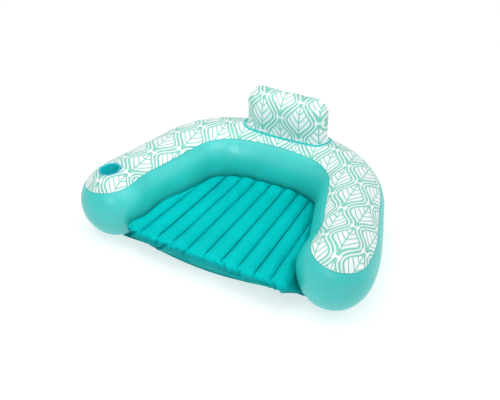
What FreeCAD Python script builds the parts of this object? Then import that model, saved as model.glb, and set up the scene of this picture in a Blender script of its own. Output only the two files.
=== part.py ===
"""Inflatable pool lounge: a U-shaped ring, a ribbed seat, a head pillow and a cup recess.

Millimetres, +Z up. The open front faces -Y and the head pillow stands at +Y. The origin is
on the resting plane, at the middle of the ring's length and width.
"""
import FreeCAD, Part
import math
import os

V = FreeCAD.Vector
UP = V(0, 0, 1)
DOWN = V(0, 0, -1)

# Sheets: every air chamber is welded from flat vinyl sheets.
SHEET_T = 1.0            # modelled thickness of a sheet
WELD_GAP = 0.4           # room left between sheets that only touch

# Ring: a round tube that runs from the middle of the back, round a corner and along an arm.
TUBE_R = 156.0           # tube radius round the back and the arms
TIP_R = 163.0            # tube radius at the swollen arm tips
REST_FLAT = 1.5          # how far the tube is pressed flat where it rests
BACK_BEND_R = 895.0
BACK_TURN = 13.5
CORNER_BEND_R = 315.0
CORNER_TURN = 59.5
ARM_RUN = 250.0          # straight stretch of each arm
TIP_BEND_R = 660.0
TIP_TURN = 90.0 - BACK_TURN - CORNER_TURN
TIP_STEPS = 4            # sections that the swelling arm tip is lofted through

# Ring seams, as angles round the tube from straight up, positive away from the seat.
PANEL_TILT = 8.65        # the printed top panel leans outwards by this much
PANEL_HALF = 49.65       # half the angle that the top panel covers
SEAM_LOW = 135.0         # both seams between the side wall and the bottom panel

# Seat: a ribbed mat between the arms, tied down by upright webs.
SEAT_FRONT_RUN = 10.0    # how far the seat's front edge stands ahead of the arm tips
SEAT_BACK_RUN = 280.0    # how far the ribs are drawn behind the corners, under the ring
CREASES_FRONT = (0.0, 83.0, 162.0, 240.0, 320.0)
CREASES_BACK = (0.0, 77.0, 148.0, 219.0, 288.0)
SEAT_HALF_FRONT = 395.0
SEAT_HALF_BACK = 357.0
VALLEY_FRONT = 150.0     # height of the creases at the front edge
VALLEY_BACK = 65.0
RIB_RISE = 20.0          # how far a rib stands above its creases
FLOOR_Z = 8.0            # underside of the floor sheet
FLOOR_INSET = 57.0       # floor sheet edge, inwards from the middle of the tube
FLOOR_AHEAD = 63.0       # how far the floor sheet runs ahead of the arm tips' middles
FLOOR_BOW = 36.0         # how far its front edge bows forwards from there
FRONT_SLOPE_RUN = 97.0   # how far the front panel slopes back from its top to the floor
SLAB_LENGTHS = 6.0       # length of the slab that cuts the front face, in face lengths
WEB_END_GAP = 60.0       # air passage past the back end of each web
WEB_FRONT_GAP = 26.0

# Head pillow, which stands on the back of the ring.
PILLOW_W = 415.0
PILLOW_D = 115.0
PILLOW_TOP = 523.0
PILLOW_CORNER_R = 62.0
PILLOW_EDGE_R = 46.0
PILLOW_LIFT = 3.0        # room under the pillow, so that it can lean
PILLOW_X = 10.0
FLANGE_W = 450.0
FLANGE_D = 135.0
FLANGE_R = 60.0
FLANGE_BAND = 8.0
FLANGE_SECTION_HALF = 60.0   # angle round the tube that the flange is cut from
FLANGE_ARC_HALF = 18.0       # angle along the back that it is cut from

# Cup recess in the tip of the left arm.
CUP_TILT = 7.0
CUP_BORE_R = 43.0
CUP_DEPTH = 85.0
CUP_RIM_R = 51.5
CUP_RIM_H = 2.0
CUP_HOLE_R = CUP_BORE_R + SHEET_T + WELD_GAP

# Air valve, the same on each chamber. Heights are measured out from the chamber's wall.
VALVE_FLANGE_R = 18.0
VALVE_FLANGE_T = 1.2
COLLAR_BORE_R = 7.05
COLLAR_R = 8.5
COLLAR_DEPTH = 10.0
STEM_R = 7.0
STEM_BORE_R = 4.5
STEM_DEPTH = 24.5
STEM_TOP = 2.7
STEM_RIM_R = 9.5
STEM_RIM_T = 1.2
STEM_BEAD_R = 8.2
STEM_BEAD_T = 2.0
PLUG_R = 4.45
PLUG_DEPTH = 9.0
PLUG_HEAD_R = 8.6
PLUG_HEAD_T = 2.5
FLAP_R = 5.6
FLAP_T = 0.8
TETHER_W = 4.0
TETHER_T = 0.8
TETHER_REACH = 14.5
TETHER_GAP = 0.3         # between the tether and the plug's head
PART_GAP = 0.1           # between valve parts that lie on each other
VALVE_BEVEL = 0.8        # on the plug's head
PLUG_TAPER = 0.6         # by which the plug's end is thinner
PLUG_TAPER_RUN = 2.0
CUT_LENGTH = 60.0        # of the cutters that open a valve's way through a sheet
RING_VALVE_HEADING = -8.0
VALVE_SKIN_HALF = 10.0   # angle round the tube that the ring valve's flange is cut from
VALVE_ARC_HALF = 2.0     # angle along the back that it is cut from
PILLOW_VALVE_X = -110.0
PILLOW_VALVE_Z = 400.0
SEAT_VALVE_X = 200.0
SEAT_VALVE_RUN = 140.0   # how far the seat valve is ahead of the back corners' middle


def sin(deg):
    return math.sin(math.radians(deg))


def cos(deg):
    return math.cos(math.radians(deg))


def ahead(heading):
    """Direction along the ring, where heading 0 is +X and heading 90 is -Y."""
    return V(cos(heading), -sin(heading), 0)


def outward(heading):
    """Direction across the ring, away from the seat."""
    return V(sin(heading), cos(heading), 0)


def bend(start, heading, radius, turn):
    """Centre and end point of an arc of the ring's centreline."""
    centre = start - outward(heading) * radius
    return centre, centre + outward(heading + turn) * radius


# The centreline's length in Y, and so where the back has to be for a centred origin.
_, AFTER_BACK = bend(V(0, 0, 0), 0, BACK_BEND_R, BACK_TURN)
_, AFTER_CORNER = bend(AFTER_BACK, BACK_TURN, CORNER_BEND_R, CORNER_TURN)
AFTER_ARM = AFTER_CORNER + ahead(90.0 - TIP_TURN) * ARM_RUN
_, AFTER_TIP = bend(AFTER_ARM, 90.0 - TIP_TURN, TIP_BEND_R, TIP_TURN)
BACK_Y = (TIP_R + SEAT_FRONT_RUN - TUBE_R - AFTER_TIP.y) / 2.0
BACK_POINT = V(0, BACK_Y, 0)
BACK_CENTRE = BACK_POINT - outward(0) * BACK_BEND_R
CORNER_CENTRE = bend(BACK_POINT + AFTER_BACK, BACK_TURN, CORNER_BEND_R, CORNER_TURN)[0]
TIP = BACK_POINT + AFTER_TIP
TUBE_Z = TUBE_R - REST_FLAT
TIP_Z = TIP_R - REST_FLAT


def tube_point(centre, heading, tube_r, lift, angle):
    """Point on a tube of radius tube_r + lift, at an angle round it from straight up."""
    r = tube_r + lift
    return centre + outward(heading) * (r * sin(angle)) + UP * (tube_r - REST_FLAT + r * cos(angle))


def arc_between(point, a0, a1):
    """Arc through the points that point(angle) gives."""
    return Part.Arc(point(a0), point((a0 + a1) / 2.0), point(a1)).toShape()


def seam_spread(tube_r, skin_r):
    """Half angle of the top panel on a skin, for a seam that is cut square to the panel."""
    return math.degrees(math.acos(tube_r * cos(PANEL_HALF) / skin_r))


def inner_seam(tube_r, skin_r):
    return PANEL_TILT - seam_spread(tube_r, skin_r)


def outer_seam(tube_r, skin_r):
    return PANEL_TILT + seam_spread(tube_r, skin_r)


def fixed(angle):
    """A seam at the same angle on every skin."""
    def seam(tube_r, skin_r):
        return angle
    return seam


def sector(seam0, seam1, low=-SHEET_T, high=0.0):
    """Cross-section of a sheet that covers the tube from one seam to another."""
    def face(centre, heading, tube_r):
        def outer(a):
            return tube_point(centre, heading, tube_r, high, a)

        def inner(a):
            return tube_point(centre, heading, tube_r, low, a)

        out0 = seam0(tube_r, tube_r + high)
        out1 = seam1(tube_r, tube_r + high)
        in0 = seam0(tube_r, tube_r + low)
        in1 = seam1(tube_r, tube_r + low)
        edges = [
            arc_between(outer, out0, out1),
            Part.makeLine(outer(out1), inner(in1)),
            arc_between(inner, in1, in0),
            Part.makeLine(inner(in0), outer(out0)),
        ]
        return Part.Face(Part.Wire(edges))
    return face


def flat_angles(tube_r):
    """Angles at which the outer and inner skins of the bottom panel turn flat."""
    outer = 180.0 - math.degrees(math.acos((tube_r - REST_FLAT) / tube_r))
    inner_r = tube_r - SHEET_T
    inner = 180.0 - math.degrees(math.acos((tube_r - REST_FLAT - SHEET_T) / inner_r))
    return outer, inner


def base_section(centre, heading, tube_r):
    """Cross-section of the bottom panel, with its pressed-flat strip."""
    flat_out, flat_in = flat_angles(tube_r)

    def outer(a):
        return tube_point(centre, heading, tube_r, 0.0, a)

    def inner(a):
        return tube_point(centre, heading, tube_r, -SHEET_T, a)

    edges = [
        arc_between(outer, SEAM_LOW, flat_out),
        Part.makeLine(outer(flat_out), outer(-flat_out)),
        arc_between(outer, -flat_out, -SEAM_LOW),
        Part.makeLine(outer(-SEAM_LOW), inner(-SEAM_LOW)),
        arc_between(inner, -SEAM_LOW, -flat_in),
        Part.makeLine(inner(-flat_in), inner(flat_in)),
        arc_between(inner, flat_in, SEAM_LOW),
        Part.makeLine(inner(SEAM_LOW), outer(SEAM_LOW)),
    ]
    return Part.Face(Part.Wire(edges))


def disc(lift):
    """Cross-section of the whole tube, grown by lift."""
    def face(centre, heading, tube_r):
        middle = centre + UP * (tube_r - REST_FLAT)
        return Part.Face(Part.Wire(Part.makeCircle(tube_r + lift, middle, ahead(heading))))
    return face


def swell(share):
    """Tube radius along the arm tip, from 0 where it starts to 1 at the very tip."""
    return TUBE_R + (TIP_R - TUBE_R) * share * share * (3.0 - 2.0 * share)


def mirrored(shape):
    return shape.mirror(V(0, 0, 0), V(1, 0, 0))


def joined(shapes):
    """One clean solid from shapes that meet face to face."""
    whole = shapes[0].multiFuse(shapes[1:]).removeSplitter()
    return whole.Solids[0] if len(whole.Solids) == 1 else whole


def runs(section):
    """Solids that sweep a cross-section along the right half of the ring."""
    solids = []
    point = BACK_POINT
    heading = 0.0
    for radius, turn in ((BACK_BEND_R, BACK_TURN), (CORNER_BEND_R, CORNER_TURN)):
        centre, end = bend(point, heading, radius, turn)
        solids.append(section(point, heading, TUBE_R).revolve(centre, DOWN, turn))
        point = end
        heading += turn
    along = ahead(heading) * ARM_RUN
    solids.append(section(point, heading, TUBE_R).extrude(along))
    point = point + along
    wires = []
    for step in range(TIP_STEPS + 1):
        share = step / TIP_STEPS
        _, place = bend(point, heading, TIP_BEND_R, TIP_TURN * share)
        wires.append(section(place, heading + TIP_TURN * share, swell(share)).OuterWire)
    solids.append(Part.makeLoft(wires, True, False))
    return solids


def both_sides(solids):
    return solids + [mirrored(s) for s in solids]


def dome(low, high):
    """Half a hollow ball over the right arm's tip, down to the low seam."""
    face = sector(fixed(0.0), fixed(SEAM_LOW), low, high)(TIP, 90.0, TIP_R)
    return face.revolve(TIP, DOWN, 180.0)


def base_dome():
    """The bottom panel's rounded end under the right arm's tip."""
    flat_out, flat_in = flat_angles(TIP_R)

    def outer(a):
        return tube_point(TIP, 90.0, TIP_R, 0.0, a)

    def inner(a):
        return tube_point(TIP, 90.0, TIP_R, -SHEET_T, a)

    edges = [
        arc_between(outer, SEAM_LOW, flat_out),
        Part.makeLine(outer(flat_out), TIP),
        Part.makeLine(TIP, TIP + UP * SHEET_T),
        Part.makeLine(TIP + UP * SHEET_T, inner(flat_in)),
        arc_between(inner, flat_in, SEAM_LOW),
        Part.makeLine(inner(SEAM_LOW), outer(SEAM_LOW)),
    ]
    return Part.Face(Part.Wire(edges)).revolve(TIP, DOWN, 180.0)


def panel_side():
    """Everything on the top panel's side of its seam at the right arm's tip."""
    lean = V(sin(PANEL_TILT), 0, cos(PANEL_TILT))
    seam_level = TIP + UP * TIP_Z + lean * (TIP_R * cos(PANEL_HALF))
    return Part.makeCylinder(TIP_R * 1.5, TIP_R, seam_level, lean)


def cup_axis():
    return V(-sin(CUP_TILT), 0, cos(CUP_TILT))


def cup_middle():
    """Middle of the left arm's tip."""
    return V(-TIP.x, TIP.y, TIP_Z)


def cup_seat():
    """Height of the liner's collar over the middle of the arm's tip."""
    return math.sqrt(TIP_R * TIP_R - CUP_HOLE_R * CUP_HOLE_R) + WELD_GAP


def cup_cutter(radius, low):
    """Cylinder round the cup's axis, from a height up to well above the ring."""
    return Part.makeCylinder(radius, TIP_R, cup_middle() + cup_axis() * low, cup_axis())


def collar_cutter(point, out):
    """Cylinder that clears a valve's collar through a sheet."""
    return Part.makeCylinder(COLLAR_R + WELD_GAP, CUT_LENGTH, point - out * (CUT_LENGTH / 2.0), out)


def ring_valve_place():
    """Where the ring's valve leaves the wall, and which way it points."""
    out = outward(RING_VALVE_HEADING)
    return BACK_CENTRE + out * (BACK_BEND_R + TUBE_R) + UP * TUBE_Z, out


def ring_panels():
    """Top panel, side wall and bottom panel of the ring's air chamber."""
    cap = dome(-SHEET_T, 0.0)
    top_cap = cap.common(panel_side()).Solids[0]
    wall_cap = cap.cut(panel_side()).Solids[0]

    top = joined(both_sides(runs(sector(inner_seam, outer_seam)) + [top_cap]))
    top = top.cut(cup_cutter(CUP_HOLE_R, TIP_R / 2.0))
    top = top.cut(cup_cutter(CUP_RIM_R + WELD_GAP, cup_seat() - WELD_GAP))

    walls = runs(sector(outer_seam, fixed(SEAM_LOW))) + runs(sector(fixed(-SEAM_LOW), inner_seam))
    walls.append(wall_cap)
    wall = joined(both_sides(walls))
    place, out = ring_valve_place()
    wall = wall.cut(collar_cutter(place, out))

    base = joined(both_sides(runs(base_section) + [base_dome()]))
    return {"ring_top_panel": top, "ring_side_wall": wall, "ring_bottom_panel": base}


def clear_tube(lift):
    """Everything that the ring takes up, grown by lift."""
    ball = Part.makeSphere(TIP_R + lift, TIP + UP * TIP_Z)
    return joined(both_sides(runs(disc(lift)) + [ball]))


# Seat ------------------------------------------------------------------------------------

SEAT_FRONT_Y = TIP.y - TIP_R - SEAT_FRONT_RUN
SEAT_BACK_Y = CORNER_CENTRE.y + SEAT_BACK_RUN


def crease_row(creases, half):
    """All rib borders from left to right."""
    right = list(creases) + [half]
    return [-x for x in reversed(right[1:])] + right


def rib_arcs(y, row, valley, drop):
    """Arcs over the ribs at one station, lowered by drop."""
    arcs = []
    for left, right in zip(row[:-1], row[1:]):
        middle = V((left + right) / 2.0, y, valley + RIB_RISE - drop)
        arcs.append(Part.Arc(V(left, y, valley - drop), middle, V(right, y, valley - drop)).toShape())
    return arcs


def seat_stations(trim):
    """Front and back stations of the ribs: y, rib borders and crease height."""
    yield SEAT_FRONT_Y, crease_row(CREASES_FRONT, SEAT_HALF_FRONT - trim), VALLEY_FRONT
    yield SEAT_BACK_Y, crease_row(CREASES_BACK, SEAT_HALF_BACK - trim), VALLEY_BACK


def rib_sheet():
    """The ribbed top sheet, before it is trimmed to the ring."""
    wires = []
    for y, row, valley in seat_stations(0.0):
        left = row[0]
        right = row[-1]
        edges = rib_arcs(y, row, valley, 0.0)
        edges.append(Part.makeLine(V(right, y, valley), V(right, y, valley - SHEET_T)))
        edges += rib_arcs(y, row, valley, SHEET_T)
        edges.append(Part.makeLine(V(left, y, valley - SHEET_T), V(left, y, valley)))
        wires.append(Part.Wire(Part.__sortEdges__(edges)))
    return Part.makeLoft(wires, True, True)


def seat_block(trim):
    """The space under the rib sheet, down to the floor sheet."""
    bottom = FLOOR_Z + SHEET_T
    wires = []
    for y, row, valley in seat_stations(trim):
        left = row[0]
        right = row[-1]
        edges = rib_arcs(y, row, valley, SHEET_T)
        edges.append(Part.makeLine(V(right, y, valley - SHEET_T), V(right, y, bottom)))
        edges.append(Part.makeLine(V(right, y, bottom), V(left, y, bottom)))
        edges.append(Part.makeLine(V(left, y, bottom), V(left, y, valley - SHEET_T)))
        wires.append(Part.Wire(Part.__sortEdges__(edges)))
    return Part.makeLoft(wires, True, True)


def front_slab(inset, thick):
    """Sloping layer that lies inset behind the seat's front face."""
    top = VALLEY_FRONT + RIB_RISE
    fall = top - FLOOR_Z
    length = math.hypot(fall, FRONT_SLOPE_RUN)
    inwards = V(0, fall, FRONT_SLOPE_RUN) * (1.0 / length)
    down = V(0, FRONT_SLOPE_RUN, -fall) * (1.0 / length)
    start = V(-SEAT_HALF_FRONT * 1.5, SEAT_FRONT_Y, top) - down * length + inwards * inset
    along = down * (length * SLAB_LENGTHS)
    across = inwards * thick
    corners = [start, start + along, start + along + across, start + across, start]
    return Part.Face(Part.makePolygon(corners)).extrude(V(SEAT_HALF_FRONT * 3, 0, 0))


def back_inner_y(x):
    """Where a line along Y at x meets the ring's inner wall at half height."""
    near = abs(x)
    if near < CORNER_CENTRE.x:
        reach = BACK_BEND_R - TUBE_R
        return BACK_CENTRE.y + math.sqrt(reach * reach - near * near)
    reach = CORNER_BEND_R - TUBE_R
    return CORNER_CENTRE.y + math.sqrt(reach * reach - (near - CORNER_CENTRE.x) ** 2)


def seat_share(y):
    """How far along the seat y is: 0 at the front and 1 at the back."""
    return (y - SEAT_FRONT_Y) / (SEAT_BACK_Y - SEAT_FRONT_Y)


def valley_height(y):
    return VALLEY_FRONT + (VALLEY_BACK - VALLEY_FRONT) * seat_share(y)


def web(front_x, back_x):
    """Upright web under one crease, open at both ends for the air to pass."""
    low = FLOOR_Z + SHEET_T
    slope = FRONT_SLOPE_RUN / (VALLEY_FRONT + RIB_RISE - FLOOR_Z)
    top_y = SEAT_FRONT_Y + RIB_RISE * slope + WEB_FRONT_GAP
    low_y = SEAT_FRONT_Y + FRONT_SLOPE_RUN + WEB_FRONT_GAP
    end_y = back_inner_y(back_x) - WEB_END_GAP
    drop = SHEET_T

    def at(y, z):
        x = front_x + (back_x - front_x) * seat_share(y)
        return V(x - SHEET_T / 2.0, y, z)

    corners = [at(top_y, valley_height(top_y) - drop), at(end_y, valley_height(end_y) - drop),
               at(end_y, low), at(low_y, low)]
    return Part.Face(Part.makePolygon(corners + corners[:1])).extrude(V(SHEET_T, 0, 0))


def floor_outline(inset):
    """Outline of the floor sheet: along the ring's inside, then bowed across the front."""
    edges = []
    point = BACK_POINT
    heading = 0.0
    legs = ((BACK_BEND_R, BACK_TURN), (CORNER_BEND_R, CORNER_TURN), (None, 0.0),
            (TIP_BEND_R, TIP_TURN))
    for radius, turn in legs:
        if radius is None:
            end = point + ahead(heading) * ARM_RUN
            shift = outward(heading) * inset
            edges.append(Part.makeLine(point - shift, end - shift))
        else:
            centre, end = bend(point, heading, radius, turn)

            def at(a, centre=centre, radius=radius):
                return centre + outward(a) * (radius - inset)

            edges.append(arc_between(at, heading, heading + turn))
        point = end
        heading += turn
    edges += [mirrored(e) for e in edges]
    side = TIP - outward(90.0) * inset
    corner = side + ahead(90.0) * FLOOR_AHEAD
    edges.append(Part.makeLine(side, corner))
    edges.append(Part.makeLine(V(-side.x, side.y, 0), V(-corner.x, corner.y, 0)))
    bow = V(0, corner.y - FLOOR_BOW, 0)
    edges.append(Part.Arc(V(-corner.x, corner.y, 0), bow, corner).toShape())
    return Part.Wire(Part.__sortEdges__(edges))


def seat_pieces():
    """Floor sheet, rib sheet, front panel, edge band and webs."""
    near = clear_tube(WELD_GAP)
    inner = clear_tube(WELD_GAP + SHEET_T)
    sheet = rib_sheet().cut(near)
    behind_front = front_slab(SHEET_T, 2000.0)
    full = seat_block(0.0).cut(near)
    hollow = seat_block(SHEET_T).cut(inner)
    panel = full.common(front_slab(0.0, SHEET_T))
    band = full.cut(hollow).common(behind_front)
    floor = Part.Face(floor_outline(FLOOR_INSET)).extrude(UP * SHEET_T)
    floor.translate(UP * FLOOR_Z)
    hole = V(SEAT_VALVE_X, CORNER_CENTRE.y - SEAT_VALVE_RUN, 0)
    floor = floor.cut(collar_cutter(hole, DOWN))
    pieces = {
        "seat_rib_sheet": sheet,
        "seat_front_panel": panel,
        "seat_edge_band": band,
        "seat_floor_sheet": floor,
    }
    fronts = crease_row(CREASES_FRONT, 0.0)[1:-1]
    backs = crease_row(CREASES_BACK, 0.0)[1:-1]
    for number, (front_x, back_x) in enumerate(zip(fronts, backs), start=1):
        pieces["seat_web_%d" % number] = web(front_x, back_x)
    return pieces


# Head pillow -----------------------------------------------------------------------------

PILLOW_BASE = TUBE_Z + TUBE_R + PILLOW_LIFT


def pillow_block(shrink):
    """The pillow's outer form, drawn in by shrink on every side but the base."""
    half = PILLOW_W / 2.0 - shrink
    top = PILLOW_TOP - shrink
    r = PILLOW_CORNER_R - shrink
    y = BACK_Y - PILLOW_D / 2.0 + shrink
    diagonal = r * (1.0 - math.sqrt(0.5))

    def at(x, z):
        return V(PILLOW_X + x, y, z)

    edges = [
        Part.makeLine(at(-half, PILLOW_BASE), at(-half, top - r)),
        Part.Arc(at(-half, top - r), at(-half + diagonal, top - diagonal), at(-half + r, top)).toShape(),
        Part.makeLine(at(-half + r, top), at(half - r, top)),
        Part.Arc(at(half - r, top), at(half - diagonal, top - diagonal), at(half, top - r)).toShape(),
        Part.makeLine(at(half, top - r), at(half, PILLOW_BASE)),
        Part.makeLine(at(half, PILLOW_BASE), at(-half, PILLOW_BASE)),
    ]
    depth = PILLOW_D - 2.0 * shrink
    block = Part.Face(Part.Wire(edges)).extrude(V(0, depth, 0))
    rounded = []
    for edge in block.Edges:
        box = edge.BoundBox
        if box.YLength < 0.01 and box.ZMax > PILLOW_BASE + 0.01:
            rounded.append(edge)
    return block.makeFillet(PILLOW_EDGE_R - shrink, rounded)


def slab_y(y0, y1):
    """A tall slab that reaches across the pillow, from y0 to y1."""
    return Part.makeBox(PILLOW_W * 2.0, y1 - y0, PILLOW_TOP, V(PILLOW_X - PILLOW_W, y0, PILLOW_BASE / 2.0))


def rounded_column(width, depth, corner_r):
    """A tall upright column with rounded corners, round the pillow's foot."""
    x = PILLOW_X - width / 2.0
    box = Part.makeBox(width, depth, TUBE_R * 2, V(x, BACK_Y - depth / 2.0, TUBE_Z))
    uprights = [e for e in box.Edges if e.BoundBox.ZLength > TUBE_R / 2.0]
    return box.makeFillet(corner_r, uprights)


def pillow_pieces():
    """Front, back and base panels, and the weld flange on the ring under them."""
    inner = pillow_block(SHEET_T)
    shell = pillow_block(0.0).cut(inner)
    front = shell.common(slab_y(BACK_Y - PILLOW_D, BACK_Y))
    back = shell.common(slab_y(BACK_Y, BACK_Y + PILLOW_D))
    place, out = pillow_valve_place()
    back = back.cut(collar_cutter(place, out))
    floor = Part.makeBox(PILLOW_W, PILLOW_D, SHEET_T,
                         V(PILLOW_X - PILLOW_W / 2.0, BACK_Y - PILLOW_D / 2.0, PILLOW_BASE))
    base = inner.common(floor)

    half = FLANGE_SECTION_HALF
    cover = sector(fixed(-half), fixed(half), 0.0, SHEET_T)(BACK_POINT, 0.0, TUBE_R)
    cover.rotate(BACK_CENTRE, UP, FLANGE_ARC_HALF)
    cover = cover.revolve(BACK_CENTRE, DOWN, FLANGE_ARC_HALF * 2.0)
    ring = rounded_column(FLANGE_W, FLANGE_D, FLANGE_R).cut(
        rounded_column(FLANGE_W - 2 * FLANGE_BAND, FLANGE_D - 2 * FLANGE_BAND, FLANGE_R - FLANGE_BAND))
    return {
        "pillow_front_panel": front,
        "pillow_back_panel": back,
        "pillow_base_panel": base,
        "pillow_weld_flange": cover.common(ring),
    }


def pillow_valve_place():
    return V(PILLOW_VALVE_X, BACK_Y + PILLOW_D / 2.0, PILLOW_VALVE_Z), V(0, 1, 0)


# Cup recess ------------------------------------------------------------------------------

def cup_pieces():
    """Moulded cup liner and the rim bead that frames it."""
    seat = cup_seat()
    wall_r = CUP_BORE_R + SHEET_T
    lip = seat + SHEET_T
    liner_outline = [
        (0, lip - CUP_DEPTH - SHEET_T), (wall_r, lip - CUP_DEPTH - SHEET_T), (wall_r, seat),
        (CUP_RIM_R, seat), (CUP_RIM_R, lip), (CUP_BORE_R, lip),
        (CUP_BORE_R, lip - CUP_DEPTH), (0, lip - CUP_DEPTH),
    ]
    rim_outline = [
        (wall_r, lip), (CUP_RIM_R, lip), (CUP_RIM_R - CUP_RIM_H / 2, lip + CUP_RIM_H),
        (wall_r + CUP_RIM_H / 2, lip + CUP_RIM_H),
    ]
    place = FreeCAD.Placement(cup_middle(), FreeCAD.Rotation(UP, cup_axis()))
    return {"cup_liner": turned(liner_outline, place), "cup_rim": turned(rim_outline, place)}


def turned(outline, place):
    """Solid of revolution from (radius, height) corners, put in place."""
    points = [V(r, 0, h) for r, h in outline]
    shape = Part.Face(Part.makePolygon(points + points[:1])).revolve(V(0, 0, 0), UP, 360.0)
    shape.Placement = place
    return shape


# Valves ----------------------------------------------------------------------------------

def valve_pieces(chamber, point, out, flange_disc, side):
    """Weld flange with collar, stem, plug, tether and check flap of one chamber's valve."""
    place = FreeCAD.Placement(point, FreeCAD.Rotation(side, out.cross(side), out, "ZXY"))
    collar_top = VALVE_FLANGE_T - PART_GAP
    collar = turned([(COLLAR_BORE_R, -COLLAR_DEPTH), (COLLAR_R, -COLLAR_DEPTH),
                     (COLLAR_R, collar_top), (COLLAR_BORE_R, collar_top)], place)
    bore = Part.makeCylinder(COLLAR_BORE_R, CUT_LENGTH, point - out * (CUT_LENGTH / 2.0), out)
    flange = joined([flange_disc.cut(bore), collar])

    rim_low = STEM_TOP - STEM_RIM_T
    stem = turned([(STEM_BORE_R, -STEM_DEPTH), (STEM_BEAD_R, -STEM_DEPTH),
                   (STEM_BEAD_R, -STEM_DEPTH + STEM_BEAD_T), (STEM_R, -STEM_DEPTH + STEM_BEAD_T),
                   (STEM_R, rim_low), (STEM_RIM_R, rim_low), (STEM_RIM_R, STEM_TOP),
                   (STEM_BORE_R, STEM_TOP)], place)

    head_low = STEM_TOP + PART_GAP
    head_top = head_low + PLUG_HEAD_T
    plug_end = STEM_TOP - PLUG_DEPTH
    plug = turned([(0, plug_end), (PLUG_R - PLUG_TAPER, plug_end),
                   (PLUG_R, plug_end + PLUG_TAPER_RUN), (PLUG_R, head_low),
                   (PLUG_HEAD_R, head_low), (PLUG_HEAD_R, head_top - VALVE_BEVEL),
                   (PLUG_HEAD_R - VALVE_BEVEL, head_top), (0, head_top)], place)

    half = TETHER_W / 2.0
    near_stem = STEM_RIM_R + PART_GAP / 2.0
    near_plug = PLUG_HEAD_R + TETHER_GAP
    inside = TETHER_REACH - TETHER_T
    low = rim_low + PART_GAP
    high = head_top - 2.0 * PART_GAP
    path = [(near_stem, low), (TETHER_REACH, low), (TETHER_REACH, high), (near_plug, high),
            (near_plug, high - TETHER_T), (inside, high - TETHER_T), (inside, low + TETHER_T),
            (near_stem, low + TETHER_T)]
    points = [V(r, -half, h) for r, h in path]
    tether = Part.Face(Part.makePolygon(points + points[:1])).extrude(V(0, TETHER_W, 0))
    tether.Placement = place

    flap_top = -STEM_DEPTH - PART_GAP
    flap = Part.makeCylinder(FLAP_R, FLAP_T, V(0, 0, flap_top - FLAP_T))
    flap.Placement = place
    return {
        chamber + "_valve_flange": flange,
        chamber + "_valve_stem": stem,
        chamber + "_valve_plug": plug,
        chamber + "_valve_tether": tether,
        chamber + "_valve_flap": flap,
    }


def all_valves():
    """One valve for each of the three air chambers."""
    pieces = {}
    point, out = ring_valve_place()
    low = fixed(90.0 - VALVE_SKIN_HALF)
    high = fixed(90.0 + VALVE_SKIN_HALF)
    skin = sector(low, high, 0.0, VALVE_FLANGE_T)(BACK_POINT, 0.0, TUBE_R)
    skin.rotate(BACK_CENTRE, UP, -RING_VALVE_HEADING + VALVE_ARC_HALF)
    skin = skin.revolve(BACK_CENTRE, DOWN, VALVE_ARC_HALF * 2.0)
    patch = skin.common(Part.makeCylinder(VALVE_FLANGE_R, CUT_LENGTH, point - out * (CUT_LENGTH / 2.0), out))
    pieces.update(valve_pieces("ring", point, out, patch, UP))

    point, out = pillow_valve_place()
    patch = Part.makeCylinder(VALVE_FLANGE_R, VALVE_FLANGE_T, point, out)
    pieces.update(valve_pieces("pillow", point, out, patch, UP))

    point = V(SEAT_VALVE_X, CORNER_CENTRE.y - SEAT_VALVE_RUN, FLOOR_Z)
    patch = Part.makeCylinder(VALVE_FLANGE_R, VALVE_FLANGE_T, point, DOWN)
    pieces.update(valve_pieces("seat", point, DOWN, patch, V(1, 0, 0)))
    return pieces


def main():
    pieces = {}
    for group in (ring_panels(), seat_pieces(), pillow_pieces(), cup_pieces(), all_valves()):
        pieces.update(group)
    os.makedirs("parts", exist_ok=True)
    for name, shape in pieces.items():
        solids = shape.Solids
        print("%-22s solids %d valid %s volume %.1f cm3" % (name, len(solids), shape.isValid(),
                                                          shape.Volume / 1000.0))
        shape.exportStep("parts/%s.step" % name)


main()
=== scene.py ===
"""Looks of the inflatable pool lounge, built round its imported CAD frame.

Metres, +Z up, the open front towards -Y. The driving dimensions are those of the CAD part.
"""
import math

import bmesh
import bpy
import numpy as np
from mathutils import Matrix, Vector


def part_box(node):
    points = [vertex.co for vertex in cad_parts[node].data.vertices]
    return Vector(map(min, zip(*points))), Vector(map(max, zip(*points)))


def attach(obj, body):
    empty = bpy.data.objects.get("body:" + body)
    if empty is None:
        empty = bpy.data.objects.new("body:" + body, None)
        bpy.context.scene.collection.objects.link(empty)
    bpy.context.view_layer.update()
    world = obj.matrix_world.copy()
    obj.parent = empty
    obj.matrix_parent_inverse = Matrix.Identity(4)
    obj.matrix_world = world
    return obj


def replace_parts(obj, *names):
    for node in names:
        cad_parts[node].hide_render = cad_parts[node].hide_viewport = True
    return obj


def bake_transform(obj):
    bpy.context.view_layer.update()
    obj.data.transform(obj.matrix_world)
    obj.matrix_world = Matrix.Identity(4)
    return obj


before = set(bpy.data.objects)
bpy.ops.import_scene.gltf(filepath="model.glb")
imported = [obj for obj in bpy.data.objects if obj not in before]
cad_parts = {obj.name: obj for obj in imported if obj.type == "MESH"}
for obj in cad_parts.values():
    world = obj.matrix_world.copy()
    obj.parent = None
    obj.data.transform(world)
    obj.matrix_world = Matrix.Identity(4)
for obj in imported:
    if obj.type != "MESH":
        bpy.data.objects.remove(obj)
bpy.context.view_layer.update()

# Ring, as in the CAD part

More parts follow.
